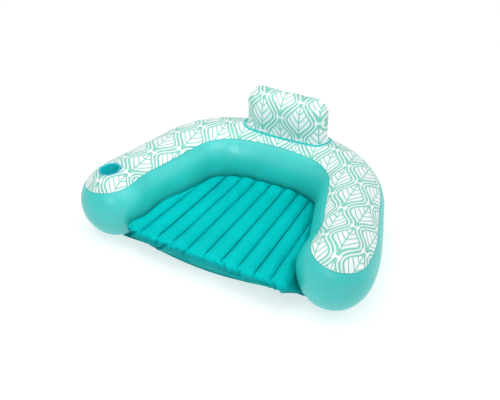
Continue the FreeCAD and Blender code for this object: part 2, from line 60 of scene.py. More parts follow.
TUBE_R = 0.156
TIP_R = 0.163
REST_FLAT = 0.0015
LEGS = ((0.895, 13.5), (0.315, 59.5), (0.250, 0.0), (0.660, 17.0))   # radius or run, turn
SEAT_FRONT_RUN = 0.010
PANEL_TILT = 8.65
SEAM_TOP = 49.65             # top seam, as an angle from the middle of the printed panel
SEAM_LOW = 135.0
SHEET_T = 0.001
CUP_TILT = 7.0
CUP_HOLE_R = 0.0444
CUP_RIM_R = 0.0515
TUBE_Z = TUBE_R - REST_FLAT
TIP_Z = TIP_R - REST_FLAT

STEP = 0.008                 # grid step of the ring's sheets
DOME_STEPS = 30

WHITE = (0.820, 0.850, 0.860)
MINT = (0.195, 0.560, 0.470)
WALL = (0.024, 0.525, 0.497)
SEAT = (0.000, 0.480, 0.475)
WELD = (0.002, 0.560, 0.540)
SEAM = (0.004, 0.420, 0.390)
# the cup's colour is lighter than its vinyl, painted light against the shade inside the cup
CUP = (0.012, 0.620, 0.660)
RIM = (0.010, 0.160, 0.420)
CLEAR = (0.780, 0.860, 0.860)


def outward(heading):
    return np.array([math.sin(math.radians(heading)), math.cos(math.radians(heading))])


def ahead(heading):
    return np.array([math.cos(math.radians(heading)), -math.sin(math.radians(heading))])


def smooth(share):
    share = np.clip(share, 0.0, 1.0)
    return share * share * (3.0 - 2.0 * share)


def half_path(start_y):
    """Right half of the ring's centreline: place, heading and radius at each station."""
    rows = []
    place = np.array([0.0, start_y])
    heading = 0.0
    for number, (size, turn) in enumerate(LEGS):
        length = size * math.radians(turn) if turn else size
        count = round(length / STEP)
        last = number == len(LEGS) - 1
        centre = place - outward(heading) * size
        for i in range(count + last):
            share = i / count
            if turn:
                point = centre + outward(heading + turn * share) * size
            else:
                point = place + ahead(heading) * size * share
            radius = TUBE_R + (TIP_R - TUBE_R) * smooth(share) * last
            rows.append((*point, heading + turn * share, radius))
        place = centre + outward(heading + turn) * size if turn else place + ahead(heading) * size
        heading += turn
    return np.array(rows)


BACK_Y = (TIP_R + SEAT_FRONT_RUN - TUBE_R - half_path(0.0)[-1, 1]) / 2.0
HALF = half_path(BACK_Y)
TIP = HALF[-1, :2]


def ring_loop():
    """Stations once round the ring: outer side, right tip, inner side, left tip.

    Each has its place on the centreline, the directions outwards and towards its tip, the
    radius, the turn round the tip (0 outer side, 180 inner side) and its own side of the ring.
    """
    right = [(x, y, *outward(h), *ahead(h), r, 1.0) for x, y, h, r in HALF]
    left = [(-x, y, -ox, oy, -ax, ay, r, -1.0) for x, y, ox, oy, ax, ay, r, _ in right[1:]]
    line = left[::-1] + right
    turns = np.linspace(0.0, 180.0, DOME_STEPS + 1)[1:-1]
    rows = [(*s, 0.0) for s in line]
    rows += [(*line[-1], t) for t in turns]
    rows += [(*s, 180.0) for s in line[::-1]]
    rows += [(*line[0], t) for t in turns[::-1]]
    return np.array(rows)


LOOP = ring_loop()


def tilt_at(theta):
    """The top panel leans outwards; the lean fades towards the low seams."""
    return PANEL_TILT * (1.0 - smooth((theta - SEAM_TOP) / (SEAM_LOW - SEAM_TOP - 10.0)))


def ring_grid(theta, lift):
    """Points and outward normals of the ring's skin at the angles theta, raised by lift."""
    theta = np.asarray(theta)
    lean = np.radians(tilt_at(theta))[None, :, None]
    angle = np.radians(theta)[None, :, None]
    turn = np.radians(LOOP[:, 8])[:, None, None]
    zero = np.zeros(len(LOOP))
    out = np.stack([LOOP[:, 2], LOOP[:, 3], zero], 1)[:, None, :]
    fore = np.stack([LOOP[:, 4], LOOP[:, 5], zero], 1)[:, None, :]
    up = np.array([0.0, 0.0, 1.0])
    axis = up * np.cos(lean) + out * np.sin(lean)
    across = out * np.cos(lean) - up * np.sin(lean)
    side = across * np.cos(turn) + fore * np.sin(turn)
    normal = axis * np.cos(angle) + side * np.sin(angle)
    radius = LOOP[:, 6]
    middle = np.stack([LOOP[:, 0], LOOP[:, 1], radius - REST_FLAT], 1)[:, None, :]
    lift = np.broadcast_to(lift, (len(LOOP), len(theta)))
    points = middle + normal * (radius[:, None, None] + lift[:, :, None])
    points[:, :, 2] = np.maximum(points[:, :, 2], 0.0004)
    return points, normal


def waves(distance, pitches, phase):
    """An uneven ripple along a line: sines of several pitches, about 1 high."""
    total = np.zeros_like(distance)
    for number, pitch in enumerate(pitches):
        total = total + np.sin(distance * (2.0 * math.pi / pitch) + phase * (number + 1.7) + number)
    return total / len(pitches)


SEAM_SINKS = ((SEAM_TOP, 0.0018), (SEAM_LOW, 0.0012))   # how deep each seam sinks
SINK_WIDTH = 0.010
PUCKER = 0.0021              # height of the puckers beside a seam
PUCKER_WIDTH = 0.030
INNER_FOLD = 0.0010          # height of the folds inside the bends of the back
BASE_SWELL = (0.0055, 141.0, 15.0)   # bulge below the low seam: height, angle and width
DENT = 0.0012                # height of the slow dents


def ring_relief(theta):
    """How far the skin stands off a true tube: sunk seams, puckers beside them and folds."""
    theta = np.asarray(theta)[None, :]
    step = np.linalg.norm(np.diff(seam_line(SEAM_TOP), axis=0, append=seam_line(SEAM_TOP)[:1]), axis=1)
    along = np.cumsum(step)[:, None]
    radius = LOOP[:, 6:7]
    turn = LOOP[:, 8:9]
    on_dome = np.sin(np.radians(turn)) ** 0.5
    inner = smooth((turn - 90.0) / 60.0)
    bend = np.interp(np.hypot(LOOP[:, 0:1], LOOP[:, 1:2] - BACK_Y), (0.12, 0.26, 0.46, 0.56), (0, 1, 1, 0))
    tight = np.clip(0.35 + 1.0 * on_dome + 0.9 * inner * bend, 0.0, 1.6)
    relief = np.zeros(np.broadcast_shapes(along.shape, theta.shape))
    for seam, depth in SEAM_SINKS:
        away = radius * np.radians(np.abs(theta - seam))
        pucker = waves(along, (0.023, 0.034, 0.047), seam) * waves(along, (0.31, 0.19), 2.0)
        relief = relief - depth * np.exp(-away / SINK_WIDTH)
        relief = relief + PUCKER * tight * pucker * np.exp(-away / PUCKER_WIDTH)
    drift = along + 0.25 * radius * np.radians(theta)
    fold = waves(drift, (0.041, 0.067, 0.029), 0.6)
    window = smooth((theta - 55.0) / 20.0) * smooth((128.0 - theta) / 25.0)
    relief = relief + INNER_FOLD * inner * bend * fold * window
    height, angle, width = BASE_SWELL
    relief = relief + height * np.exp(-((theta - angle) / width) ** 2)
    around = radius * np.radians(theta)
    slow = waves(along, (0.47, 0.29, 0.21), 1.0) * waves(around + 0.3 * along, (0.17, 0.26), 3.0)
    return relief + DENT * slow


def seam_line(theta):
    """Closed line of points round the ring at one angle."""
    return ring_grid([theta], 0.0)[0][:, 0, :]


def print_places(theta):
    """Places on the flat printed sheet before it was wrapped over the tube."""
    spread = LOOP[:, 6:7] * np.radians(np.asarray(theta))[None, :]
    shift = LOOP[:, 6:7] * math.radians(PANEL_TILT)
    turn = np.radians(LOOP[:, 8:9])
    places = []
    for axis in (0, 1):
        out = LOOP[:, 2 + axis:3 + axis]
        fore = LOOP[:, 4 + axis:5 + axis]
        unrolled = spread * (out * np.cos(turn) + fore * np.sin(turn))
        places.append(LOOP[:, axis:axis + 1] + out * shift + unrolled)
    return np.stack(places + [np.zeros_like(places[0])], 2)


# Meshes

def grid_faces(rows, columns, closed_rows=False, closed_columns=False):
    faces = []
    for i in range(rows if closed_rows else rows - 1):
        for j in range(columns if closed_columns else columns - 1):
            a = i * columns + j
            b = ((i + 1) % rows) * columns + j
            c = ((i + 1) % rows) * columns + (j + 1) % columns
            d = i * columns + (j + 1) % columns
            faces.append((a, b, c, d))
    return faces


def mesh_object(name, points, faces, place=None, **layers):
    """A mesh object with tidy normals, where its print is read, and any layers of numbers."""
    mesh = bpy.data.meshes.new(name)
    mesh.from_pydata([tuple(p) for p in np.asarray(points).reshape(-1, 3)], [], faces)
    if place is not None:
        layer = mesh.attributes.new("print_place", "FLOAT_VECTOR", "POINT")
        layer.data.foreach_set("vector", np.asarray(place, np.float32).reshape(-1))
    for label, numbers in layers.items():
        layer = mesh.attributes.new(label, "FLOAT", "POINT")
        layer.data.foreach_set("value", np.asarray(numbers, np.float32).reshape(-1))
    work = bmesh.new()
    work.from_mesh(mesh)
    bmesh.ops.remove_doubles(work, verts=work.verts, dist=0.00002)
    bmesh.ops.dissolve_degenerate(work, edges=work.edges, dist=0.00001)
    bmesh.ops.recalc_face_normals(work, faces=work.faces)
    for face in work.faces:
        face.smooth = True
    for edge in work.edges:
        if len(edge.link_faces) == 2 and edge.calc_face_angle(0.0) > math.radians(50):
            edge.smooth = False
    work.to_mesh(mesh)
    work.free()
    thing = bpy.data.objects.new(name, mesh)
    bpy.context.scene.collection.objects.link(thing)
    return thing


def apply_modifiers(thing):
    bpy.context.view_layer.update()
    mesh = bpy.data.meshes.new_from_object(thing.evaluated_get(bpy.context.evaluated_depsgraph_get()))
    thing.modifiers.clear()
    old = thing.data
    thing.data = mesh
    bpy.data.meshes.remove(old)


def inflate(thing, pressure, slack, frames, furthest):
    """Blow a piece up as cloth, then keep the shape it takes.

    Its layer "held" is 1 where it is held, and slack is how much too large it is cut where its
    layer "loose" is 0 and where it is 1.
    """
    count = len(thing.data.vertices)
    for label in ("held", "loose"):
        weights = np.zeros(count, np.float32)
        thing.data.attributes[label].data.foreach_get("value", weights)
        group = thing.vertex_groups.new(name=label)
        for number in np.nonzero(weights > 0.01)[0]:
            group.add([int(number)], float(min(1.0, weights[number])), "REPLACE")
    before = np.zeros(count * 3, np.float32)
    thing.data.vertices.foreach_get("co", before)
    cloth = thing.modifiers.new("cloth", "CLOTH")
    cloth.settings.quality = 5
    cloth.settings.mass = 0.25
    cloth.settings.tension_stiffness = 30.0
    cloth.settings.compression_stiffness = 18.0
    cloth.settings.shear_stiffness = 10.0
    cloth.settings.bending_stiffness = 0.35
    cloth.settings.tension_damping = 8.0
    cloth.settings.use_pressure = True
    cloth.settings.uniform_pressure_force = pressure
    cloth.settings.vertex_group_shrink = "loose"
    cloth.settings.shrink_min = -slack[0]
    cloth.settings.shrink_max = -slack[1]
    cloth.settings.vertex_group_mass = "held"
    cloth.settings.effector_weights.gravity = 0.0
    cloth.collision_settings.use_collision = False
    cloth.point_cache.frame_end = frames
    for number in range(1, frames + 1):
        bpy.context.scene.frame_set(number)
    bpy.context.view_layer.update()
    worked = thing.evaluated_get(bpy.context.evaluated_depsgraph_get())
    after = np.zeros(count * 3, np.float32)
    worked.data.vertices.foreach_get("co", after)
    move = (after - before).reshape(-1, 3)
    size = np.linalg.norm(move, axis=1, keepdims=True)
    limit = furthest * np.tanh(size / furthest) / np.maximum(size, 1e-9)
    thing.modifiers.clear()
    thing.data.vertices.foreach_set("co", (before.reshape(-1, 3) + move * limit).reshape(-1))
    thing.data.update()
    thing.vertex_groups.clear()
    bpy.context.scene.frame_set(1)


def bore(thing, point, direction, radius, reach):
    """Cut a round hole through a piece."""
    bpy.ops.mesh.primitive_cylinder_add(vertices=64, radius=radius, depth=reach, location=point)
    cutter = bpy.context.object
    cutter.rotation_mode = "QUATERNION"
    cutter.rotation_quaternion = Vector(direction).to_track_quat("Z", "Y")
    cut = thing.modifiers.new("bore", "BOOLEAN")
    cut.operation = "DIFFERENCE"
    cut.object = cutter
    apply_modifiers(thing)
    bpy.data.objects.remove(cutter)


def press_flat(points, origin, axis, level, inner, outer):
    """Draw the skin near an axis onto a plane across it, for a moulded part to sit on."""
    axis = np.array(axis)
    offset = points - np.array(origin)
    height = offset @ axis
    away = np.linalg.norm(offset - height[..., None] * axis, axis=-1)
    pull = smooth((outer - away) / (outer - inner)) * (np.abs(height - level) < outer)
    return points + axis * ((level - height) * pull)[..., None]


CUP_MIDDLE = (-TIP[0], TIP[1], TIP_Z)
CUP_AXIS = (-math.sin(math.radians(CUP_TILT)), 0.0, math.cos(math.radians(CUP_TILT)))
CUP_LEVEL = math.sqrt(TIP_R ** 2 - CUP_HOLE_R ** 2)
CORNER_Y = BACK_Y - LEGS[0][0] + (LEGS[0][0] - LEGS[1][0]) * math.cos(math.radians(LEGS[0][1]))
PRESS_CLEAR = 0.003          # the skin stays flat this far beyond a moulded part
PRESS_FADE = 0.030           # and has its own shape again this far beyond it
VALVE_FLANGE_R = 0.018
VALVE_HOLE_R = 0.0085
VALVE_REACH = 0.060          # length of the tool that cuts a valve's hole
VALVES = {                   # place on the skin and direction outwards
    "ring": (np.array([0.0, BACK_Y - LEGS[0][0], TUBE_Z])
             + np.append(outward(-8.0), 0.0) * (LEGS[0][0] + TUBE_R), np.append(outward(-8.0), 0.0)),
    "pillow": (np.array([-0.110, BACK_Y + 0.0575, 0.400]), np.array([0.0, 1.0, 0.0])),
    "seat": (np.array([0.200, CORNER_Y - 0.140, 0.008]), np.array([0.0, 0.0, -1.0])),
}


def valve_hole(thing, chamber):
    """Cut the hole for a chamber's valve."""
    place, out = VALVES[chamber]
    bore(thing, place, out, VALVE_HOLE_R, VALVE_REACH)


def open_hole(thing, chamber):
    """Take away the blind end that a hole in a single closed skin is left with."""
    place, out = VALVES[chamber]
    work = bmesh.new()
    work.from_mesh(thing.data)
    pit = []
    for face in work.faces:
        offset = np.array(face.calc_center_median()[:]) - place
        height = float(offset @ out)
        away = np.linalg.norm(offset - height * out)
        if -VALVE_REACH < height < -0.002 and away < VALVE_HOLE_R + 0.0002:
            pit.append(face)
    bmesh.ops.delete(work, geom=pit, context="FACES")
    work.to_mesh(thing.data)
    work.free()
    drop_loose(thing)


def valve_seat(points, chamber, level=0.0):
    """Flatten the skin under a valve's flange."""
    inner = VALVE_FLANGE_R + PRESS_CLEAR
    outer = VALVE_FLANGE_R + PRESS_FADE
    return press_flat(points, *VALVES[chamber], level, inner, outer)


def tether(chamber):
    """The soft strap of a valve, copied from its CAD part."""
    name = chamber + "_valve_tether"
    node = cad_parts[name]
    mesh = node.data.copy()
    mesh.transform(node.matrix_world)
    strap = bpy.data.objects.new(chamber + "_valve_strap", mesh)
    bpy.context.scene.collection.objects.link(strap)
    place, out = VALVES[chamber]
    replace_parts(strap, name)
    tuple(place + out * 0.0024)
    tuple(place + out * 0.0043)
    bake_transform(strap)
    return strap


def ring_panel(name, theta, printed=False):
    """One welded sheet of the ring, with its real thickness."""
    relief = ring_relief(theta)
    skin = ring_grid(theta, relief)[0]
    lining = ring_grid(theta, relief - SHEET_T)[0]
    inner = CUP_RIM_R + PRESS_CLEAR
    outer = CUP_RIM_R + PRESS_FADE
    skin = press_flat(skin, CUP_MIDDLE, CUP_AXIS, CUP_LEVEL, inner, outer)
    lining = press_flat(lining, CUP_MIDDLE, CUP_AXIS, CUP_LEVEL - SHEET_T, inner, outer)
    skin = valve_seat(skin, "ring")
    lining = valve_seat(lining, "ring", -SHEET_T)
    points = np.concatenate([skin, lining[:, ::-1]], 1)
    place = print_places(theta)
    place = np.concatenate([place, place[:, ::-1]], 1)
    faces = grid_faces(len(LOOP), 2 * len(theta), True, True)
    return mesh_object(name, points, faces, place if printed else None)


def angle_steps(start, end, dense=()):
    """Angles from start to end, closer together beside the seams named in dense."""
    count = max(2, round(TUBE_R * math.radians(end - start) / STEP))
    angles = list(np.linspace(start, end, count + 1))
    for seam in dense:
        inside = 1.0 if seam == start else -1.0
        angles += [seam + inside * off for off in (0.7, 1.5)]
    return np.array(sorted(angles))


def weld_bead(name, theta, width, height):
    """The raised edge of a weld, all round the ring."""
    shares = np.linspace(-1.0, 1.0, 7)
    spans = np.degrees(width / 2.0 / TUBE_R) * shares
    base = ring_relief([theta])
    top = ring_grid(theta + spans, base + height * np.sqrt(np.clip(1.0 - shares ** 2, 0.0, 1.0)) - 0.0003)[0]
    foot = ring_grid(theta + spans, base - 0.0008)[0]
    points = np.concatenate([top, foot[:, ::-1]], 1)
    return mesh_object(name, points, grid_faces(len(LOOP), len(shares) * 2, True, True))


# Seat

SEAT_FRONT_Y = TIP[1] - TIP_R - SEAT_FRONT_RUN
SEAT_BACK_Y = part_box("seat_rib_sheet")[1].y + 0.02
CREASES_FRONT = (0.083, 0.162, 0.240, 0.320, 0.395)   # half the creases, at the front edge
CREASES_BACK = (0.077, 0.148, 0.219, 0.288, 0.357)    # and at the back
VALLEY_FRONT = 0.150         # height of the creases at the front edge
VALLEY_BACK = 0.065
SEAT_BACK_RUN = 0.280        # from the corners' middle to where the back rib places are given
RIB_RISE = 0.019
FLOOR_TOP = 0.0092
CREASE_SHADE = (0.0, 0.45, 1.0, 0.8, 0.55, 0.75, 1.0, 0.6, 1.0, 0.35, 0.0)   # how much painted shade darkens each crease
FLOOR_INSET = 0.057          # the floor sheet ends this far inside the ring's centreline
RIB_STEPS = 22               # grid steps across a rib, and along its top, nose and face
TOP_ROWS = 92
NOSE_ROWS = 9
FACE_ROWS = 24
CREASE_DRIFT = 0.009         # the creases lean this far to the right at the front
NOSE = 0.027                 # length of the rounded front end of the ribs
END_FADE = 0.032             # the ribs flatten over this length towards the ring
CREASE_STOP = 0.011          # the creases run out this far behind the front edge
SIDE_STEPS = 7
SIDE_LEAN = 0.036            # the mat's ends lean out this far at the floor
CORNER_BACK = 0.022          # the left front corner is rounded back this far
FACE_FOLD = 0.0115           # height of the folds in the front
FACE_WAVE = 0.0026
TUCK = 0.011                 # depth of the level tuck across the front
PUCKER_END = 0.0016          # height of the gathers where the creases run out
FLOOR_RIPPLE = 0.0006


def crease_lines():
    """Front and back x of every rib border, from left to right."""
    front = [-x for x in reversed(CREASES_FRONT)] + [0.0] + list(CREASES_FRONT)
    back = [-x for x in reversed(CREASES_BACK)] + [0.0] + list(CREASES_BACK)
    return np.array(front), np.array(back)


def seat_columns():
    """Across the seat: rib number and place inside the rib, closer together at its creases."""
    shares = [0.5 - 0.5 * math.copysign(abs(math.cos(math.pi * i / RIB_STEPS)) ** 0.8,
                                        math.cos(math.pi * i / RIB_STEPS)) for i in range(RIB_STEPS)]
    last = len(crease_lines()[0]) - 2
    return [(rib, share) for rib in range(last + 1) for share in shares] + [(last, 1.0)]


def front_line(x):
    """Where the seat's front edge and its foot lie, in Y."""
    edge = SEAT_FRONT_Y + 0.004 - 0.036 * x + CORNER_BACK * smooth((-0.335 - x) / 0.06)
    foot = SEAT_FRONT_Y + 0.0755 + 0.034 * (x / 0.33) ** 2 + 0.010 * np.maximum(0.0, x / 0.33)
    return edge, foot


def seat_column(rib, part):
    """A line of points along the seat at one place in a rib: back, nose, front and foot.

    With it come how much painted shade each point gets, along its crease and where it meets the ring, and
    how firmly it is held while inflated.
    """
    front_x, back_x = crease_lines()
    back_y = CORNER_Y + SEAT_BACK_RUN
    x_front = front_x[rib] + (front_x[rib + 1] - front_x[rib]) * part
    x_back = back_x[rib] + (back_x[rib + 1] - back_x[rib]) * part
    edge, foot = front_line(x_front)
    bulge = 1.0 - abs(2.0 * part - 1.0) ** 2.3
    own = 1.0 + 0.14 * math.sin(rib * 2.3 + 0.5)
    y_run = edge + NOSE + (SEAT_BACK_Y - edge - NOSE) * np.linspace(1.0, 0.0, TOP_ROWS) ** 1.25
    share = (y_run - SEAT_FRONT_Y) / (back_y - SEAT_FRONT_Y)
    drift = CREASE_DRIFT * (1.0 - share) * smooth((0.36 - abs(x_front)) / 0.1)
    x = x_front + (x_back - x_front) * share + drift
    valley = VALLEY_FRONT + (VALLEY_BACK - VALLEY_FRONT) * share
    room = -ring_depth(np.stack([x, y_run, valley + 0.004], 1))
    fade = smooth(room / END_FADE)
    closing = smooth((edge + NOSE + 0.006 - y_run) / 0.018)
    form = bulge ** 0.6 + (0.60 - 0.60 * bulge ** 0.6) * closing
    swell = 1.0 + 0.10 * np.sin(y_run * 21.0 + rib * 1.9) + 0.30 * np.exp(-((room - 0.045) / 0.028) ** 2)
    z = valley + RIB_RISE * own * form * fade * swell
    near = math.exp(-min(part, 1.0 - part) * 9.0)
    z = z + 0.0009 * near * np.sin(y_run / 0.0125 + rib * 2.1 + 2.0 * part) * np.sin(y_run * 13.0 + rib)
    top = np.stack([x, y_run, z], 1)
    start = top[-1]
    pinch = 1.0 - bulge ** 0.5
    nose_x = x_front + CREASE_DRIFT * 0.9 * smooth((0.36 - abs(x_front)) / 0.1)
    tip = np.array([nose_x, edge + 0.007 * pinch, VALLEY_FRONT - 0.014 + 0.004 * bulge])
    nose = bezier(start, start + [0, -0.018, 0.001], tip + [0, 0.000, 0.012], tip, NOSE_ROWS + 1)[1:]
    low = np.array([x_front, foot, FLOOR_TOP])
    face = bezier(tip, tip + [0, 0.003, -0.045], low + [0, -0.016, 0.034], low, FACE_ROWS + 1)[1:]
    points = np.concatenate([top, nose, face])
    sharp = math.exp(-(min(part, 1.0 - part) / 0.030) ** 2)
    shade_amount = np.zeros(len(points))
    # painted shade darkens each crease, and a painted shadow lies where the mat runs into the ring
    crease_shade = sharp * CREASE_SHADE[rib + (part > 0.5)]
    shade_amount[:TOP_ROWS] = crease_shade * smooth((y_run - edge - CREASE_STOP) / 0.008)
    shade_amount[:TOP_ROWS] = np.maximum(shade_amount[:TOP_ROWS], 0.8 * np.exp(-(room / 0.007) ** 2))
    hold = np.zeros(len(points))
    hold[:TOP_ROWS] = float(part in (0.0, 1.0)) * (y_run > edge + CREASE_STOP)
    hold[:TOP_ROWS] = np.maximum(hold[:TOP_ROWS], room < 0.004)
    hold[TOP_ROWS + NOSE_ROWS:] = 0.5
    hold[-2:] = 1.0
    return points, shade_amount, hold


def seat_mat():
    """The ribbed top of the seat, its sloping front and its ends, as one skin."""
    columns, creases, holds = zip(*[seat_column(rib, part) for rib, part in seat_columns()])
    columns = [side_wall(columns[0], -1.0)[::-1], columns, side_wall(columns[-1], 1.0)]
    grid = np.concatenate([np.array(part) for part in columns])
    # painted shade on the mat's ends, which face the ring
    edge_crease = np.full((SIDE_STEPS, grid.shape[1]), 0.35)
    edge_hold = np.ones((SIDE_STEPS, grid.shape[1]))
    crease = np.concatenate([edge_crease, np.array(creases), edge_crease])
    held = np.concatenate([edge_hold, np.array(holds), edge_hold])
    loose = np.broadcast_to(smooth((np.arange(grid.shape[1]) - TOP_ROWS + 4) / 10.0), grid.shape[:2])
    return grid, {"crease": crease, "held": held, "loose": loose}


def side_wall(column, side):
    """Columns that close the mat down to the floor beside its last rib."""
    low = column.copy()
    low[:, 0] += side * SIDE_LEAN
    low[:, 1] = np.maximum(low[:, 1], column[-1, 1])
    low[:, 2] = FLOOR_TOP
    shares = np.linspace(0.0, 1.0, SIDE_STEPS + 1)[1:]
    walls = []
    for share in shares:
        dip = 0.006 * math.sin(math.pi * share)
        walls.append(column + (low - column) * share + [-side * dip, dip * 0.5, 0.0])
    return walls


def bezier(a, b, c, d, count):
    """Points along a cubic curve from a to d."""
    t = np.linspace(0.0, 1.0, count)[:, None]
    return a * (1 - t) ** 3 + 3 * b * t * (1 - t) ** 2 + 3 * c * t * t * (1 - t) + d * t ** 3


def face_folds(grid, crease):
    """Slack vinyl across the sloping front: folds that start where the creases run out.

    Each fold overlaps like a flap, so one side of it is sharp. They run down to the right, and
    down to the left in the left half. Returns the folded grid and the painted-shade layer, with painted
    shadow along the fold edges and in the tuck and painted shade down the lower front.
    """
    x = grid[:, TOP_ROWS:, 0]
    down = np.linspace(0.0, 1.0, NOSE_ROWS + FACE_ROWS)[None, :] + 0.0 * x
    left = smooth((-0.14 - x) / 0.16)
    along = x + 0.008 * np.sin(down * 9.0 + x * 23.0)
    fade_in = smooth((down - 0.06) / 0.16)
    fade_out = smooth((1.0 - down) / 0.22)
    fold = np.zeros_like(x)
    edge = np.zeros_like(x)
    for number, place in enumerate(crease_lines()[0]):
        size = 0.55 + 0.45 * math.sin(number * 2.1 + 0.6)
        lean = 0.070 - 0.22 * smooth((-0.02 - place) / 0.12)
        for offset, share, reach in ((0.004, 1.0, 0.030), (-0.034, 0.45, 0.018)):
            away = along - down * lean - place - offset - CREASE_DRIFT
            rise = smooth(away / 0.008) * np.exp(-np.maximum(away, 0.0) / reach)
            drop = np.exp(-(np.minimum(away, 0.0) / 0.012) ** 2) * (1.0 - smooth(away / 0.008))
            fold = fold + size * share * (rise - 0.6 * drop)
            edge = edge + size * share * np.exp(-(away / 0.0075) ** 2)
    wave = waves(along * 1.4 - 0.07 * down, (0.021, 0.034, 0.047), 0.8)
    tuck_at = 0.37 + 0.035 * np.sin(x * 11.0 + 0.7) + 0.02 * np.sin(x * 37.0)
    reach = np.clip(0.25 + smooth((x - 0.02) / 0.12) + 0.3 * left, 0.0, 1.0)
    reach = reach * (0.75 + 0.25 * np.sin(x * 43.0 + 1.0))
    tuck = np.exp(-((down - tuck_at) / 0.040) ** 2) * reach
    amount = (FACE_FOLD * (1.0 + 0.5 * left) * fold + FACE_WAVE * wave) * fade_in * fade_out - TUCK * tuck
    folded = grid.copy()
    folded[:, TOP_ROWS:, 1] -= amount
    folded[:, TOP_ROWS:, 2] -= amount * 0.30
    crease = crease.copy()
    # painted shadow along the fold edges and in the tuck, and painted shade down the lower front
    line = (0.40 + 0.45 * left) * np.clip(edge, 0.0, 1.0) * fade_in * fade_out
    face_shade = 0.50 * smooth((down - 0.14) / 0.12) + line
    face_shade = np.clip(face_shade + 0.45 * tuck, 0.0, 1.0)
    crease[:, TOP_ROWS:] = np.maximum(crease[:, TOP_ROWS:], face_shade)
    return folded, crease


def end_puckers(grid):
    """Short gathers where each crease runs out at the front."""
    x = grid[:, :, 0]
    y = grid[:, :, 1]
    edge, _ = front_line(x)
    near = np.exp(-((y - edge - 0.030) / 0.028) ** 2)
    gather = np.sin(x / 0.0061 + 9.0 * np.sin(x * 23.0)) * near
    out = grid.copy()
    out[:, :, 2] += PUCKER_END * gather * (grid[:, :, 2] > VALLEY_FRONT - 0.03)
    return out


def floor_sheet():
    """The flat vinyl under the seat, from the seat's foot to the ring's inside.

    Returned with its flat size and its area.
    """
    rows = []
    inner = np.array([np.array([x, y]) - outward(heading) * FLOOR_INSET for x, y, heading, _ in HALF])
    order = np.argsort(inner[:, 1])
    for step in np.linspace(0.0, 1.0, 90):
        row = []
        for share in np.linspace(-1.0, 1.0, 110):
            guess = share * (TIP[0] - FLOOR_INSET)
            _, front = front_line(np.clip(guess, -0.35, 0.35))
            y = front - 0.003 + (inner[:, 1].max() - 0.002 - front) * step
            reach = np.interp(y, inner[order, 1], inner[order, 0])
            row.append((share * reach, y, FLOOR_TOP - 0.0002))
        rows.append(row)
    grid = np.array(rows)
    x = grid[:, :, 0]
    y = grid[:, :, 1]
    ripple = waves(x + 0.4 * y, (0.061, 0.043), 1.3) * waves(y - 0.2 * x, (0.21, 0.13), 0.4)
    valve = VALVES["seat"][0]
    clear = smooth((np.hypot(x - valve[0], y - valve[1]) - VALVE_FLANGE_R - 0.004) / 0.04)
    cells = np.cross(grid[1:, :-1] - grid[:-1, :-1], grid[:-1, 1:] - grid[:-1, :-1])
    area = float(np.abs(cells[:, :, 2]).sum())
    size = (float(np.ptp(x)), float(np.ptp(y)))
    grid[:, :, 2] -= FLOOR_RIPPLE * (1.0 + ripple) * clear
    lower = grid - [0.0, 0.0, SHEET_T]
    points = np.concatenate([grid, lower[:, ::-1]], 1)
    faces = grid_faces(len(grid), points.shape[1], False, True)
    rim = grid.shape[1]
    for row in (0, len(grid) - 1):
        first = row * 2 * rim
        last = first + 2 * rim - 1
        faces += [(first + i, first + i + 1, last - 1 - i, last - i) for i in range(rim - 1)]
    thing = mesh_object("seat_floor", points, faces)
    valve_hole(thing, "seat")
    return thing, size, area


def ring_depth(points):
    """How deep points lie inside the ring's tube."""
    flat = points.reshape(-1, 3)
    best = np.full(len(flat), -9.0)
    for side in (1.0, -1.0):
        for px, py, _, radius in HALF:
            dx = flat[:, 0] - side * px
            dy = flat[:, 1] - py
            dz = flat[:, 2] - radius
            best = np.maximum(best, radius - np.sqrt(dx ** 2 + dy ** 2 + dz ** 2))
    return best.reshape(points.shape[:-1])


def seat_object():
    """The seat's mat: ribs, front and ends, cut off where they would lie inside the ring."""
    grid, layers = seat_mat()
    grid, layers["crease"] = face_folds(grid, layers["crease"])
    grid = end_puckers(grid)
    depth = ring_depth(grid).reshape(-1)
    faces = [f for f in grid_faces(*grid.shape[:2]) if min(depth[i] for i in f) < 0.012]
    mat = mesh_object("seat_mat", grid, faces, **layers)
    drop_loose(mat)
    inflate(mat, 5.0, (0.004, 0.06), 22, 0.012)
    shell(mat)
    return mat


def shell(thing):
    """Give a single skin the thickness of the sheet, inwards."""
    wall = thing.modifiers.new("thickness", "SOLIDIFY")
    wall.thickness = SHEET_T
    wall.offset = -1.0
    apply_modifiers(thing)
    drop_loose(thing)


def drop_loose(thing):
    """Delete points that no face uses."""
    work = bmesh.new()
    work.from_mesh(thing.data)
    bmesh.ops.delete(work, geom=[v for v in work.verts if not v.link_faces], context="VERTS")
    work.to_mesh(thing.data)
    work.free()


# Pillow

PILLOW_W = 0.415
PILLOW_D = 0.115
PILLOW_X = 0.010
PILLOW_TOP = 0.523
PILLOW_SLIM = 0.004          # starts this much smaller, because inflating swells it
PILLOW_ROUND = np.array([0.074, 0.050, 0.074])
FLANGE_W = 0.450
FLANGE_D = 0.135
FLANGE_R = 0.060
FLANGE_BAND = 0.008
FLANGE_BEAD = 0.0068
SKIRT = 0.030                # height over which the pillow's foot flares to its weld


def tube_top(x, y):
    """Height of the ring's back under a point."""
    centre_y = BACK_Y - LEGS[0][0]
    away = np.hypot(x, y - centre_y) - LEGS[0][0]
    return TUBE_Z + np.sqrt(np.maximum(TUBE_R ** 2 - away ** 2, 0.0))


